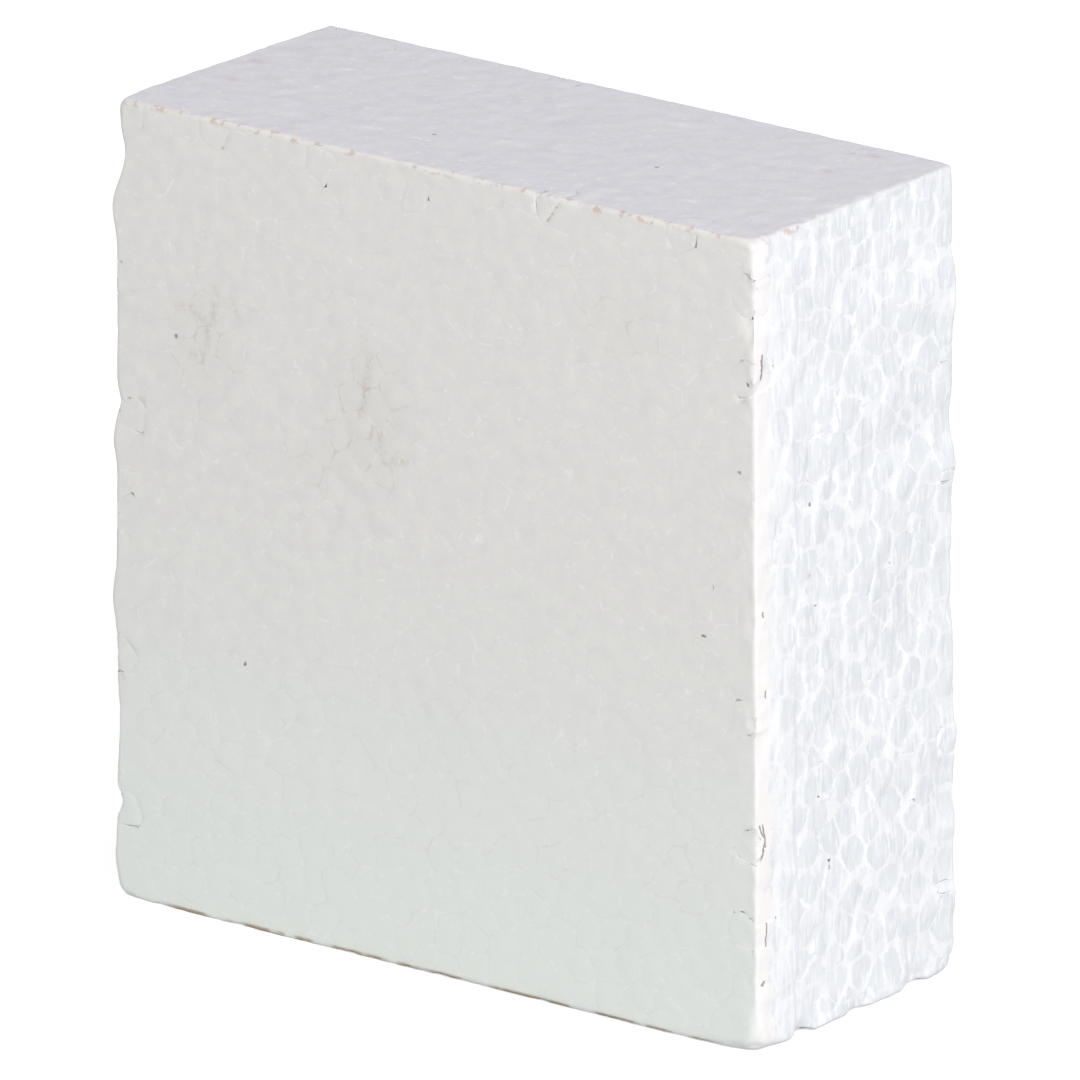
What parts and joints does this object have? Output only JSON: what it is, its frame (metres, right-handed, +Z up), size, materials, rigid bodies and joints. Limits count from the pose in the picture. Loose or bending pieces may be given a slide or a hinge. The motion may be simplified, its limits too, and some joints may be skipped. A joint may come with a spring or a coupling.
{
  "type": "expanded polystyrene foam block",
  "caption": "Rectangular block of white expanded bead foam on its narrow side, with a smooth moulded front, rough sawn sides and separate beads seated in its worn edges.",
  "frame": {"origin": "centre of the base that the block stands on", "axes": "+Z up, the block's longest way; +Y back through its thickness, from the moulded front face; +X to the right as seen from the front"},
  "size_m": [0.097, 0.0396, 0.1],
  "materials": {
    "moulded_foam": "matt off-white moulded bead foam with faint bead outlines, and pale brown stains on the front",
    "bead_foam": "matt clean white closed-cell beads with a faint sparkle"
  },
  "bodies": {
    "root": {"foam_block": "moulded_foam", "back_left_edge_bead_1": "bead_foam", "back_left_edge_bead_2": "bead_foam", "back_left_edge_bead_3": "bead_foam", "back_left_edge_bead_4": "bead_foam", "back_right_edge_bead_1": "bead_foam", "back_right_edge_bead_2": "bead_foam", "back_right_edge_bead_3": "bead_foam", "back_right_edge_bead_4": "bead_foam", "back_right_edge_bead_5": "bead_foam", "back_right_edge_bead_6": "bead_foam", "front_left_edge_bead_1": "bead_foam", "front_left_edge_bead_2": "bead_foam", "front_left_edge_bead_3": "bead_foam", "front_left_edge_bead_4": "bead_foam", "front_left_edge_bead_5": "bead_foam", "front_left_edge_bead_6": "bead_foam", "front_right_edge_bead_1": "bead_foam", "front_right_edge_bead_2": "bead_foam", "front_right_edge_bead_3": "bead_foam", "front_right_edge_bead_4": "bead_foam", "front_right_edge_bead_5": "bead_foam", "front_right_edge_bead_6": "bead_foam", "front_right_edge_bead_7": "bead_foam", "left_side_bead_1": "bead_foam", "left_side_bead_2": "bead_foam", "left_side_bead_3": "bead_foam", "left_side_bead_4": "bead_foam", "left_side_bead_5": "bead_foam", "right_side_back_bead_1": "bead_foam", "right_side_back_bead_2": "bead_foam", "right_side_back_bead_3": "bead_foam", "right_side_back_bead_4": "bead_foam", "right_side_back_bead_5": "bead_foam", "right_side_front_bead_1": "bead_foam", "right_side_front_bead_2": "bead_foam", "right_side_front_bead_3": "bead_foam", "right_side_front_bead_4": "bead_foam", "right_side_front_bead_5": "bead_foam", "top_back_edge_bead_1": "bead_foam", "top_back_edge_bead_2": "bead_foam", "top_back_edge_bead_3": "bead_foam", "top_back_edge_bead_4": "bead_foam", "top_front_edge_bead_1": "bead_foam", "top_front_edge_bead_2": "bead_foam", "top_front_edge_bead_3": "bead_foam", "top_front_edge_bead_4": "bead_foam", "top_front_edge_bead_5": "bead_foam"}
  },
  "joints": []
}
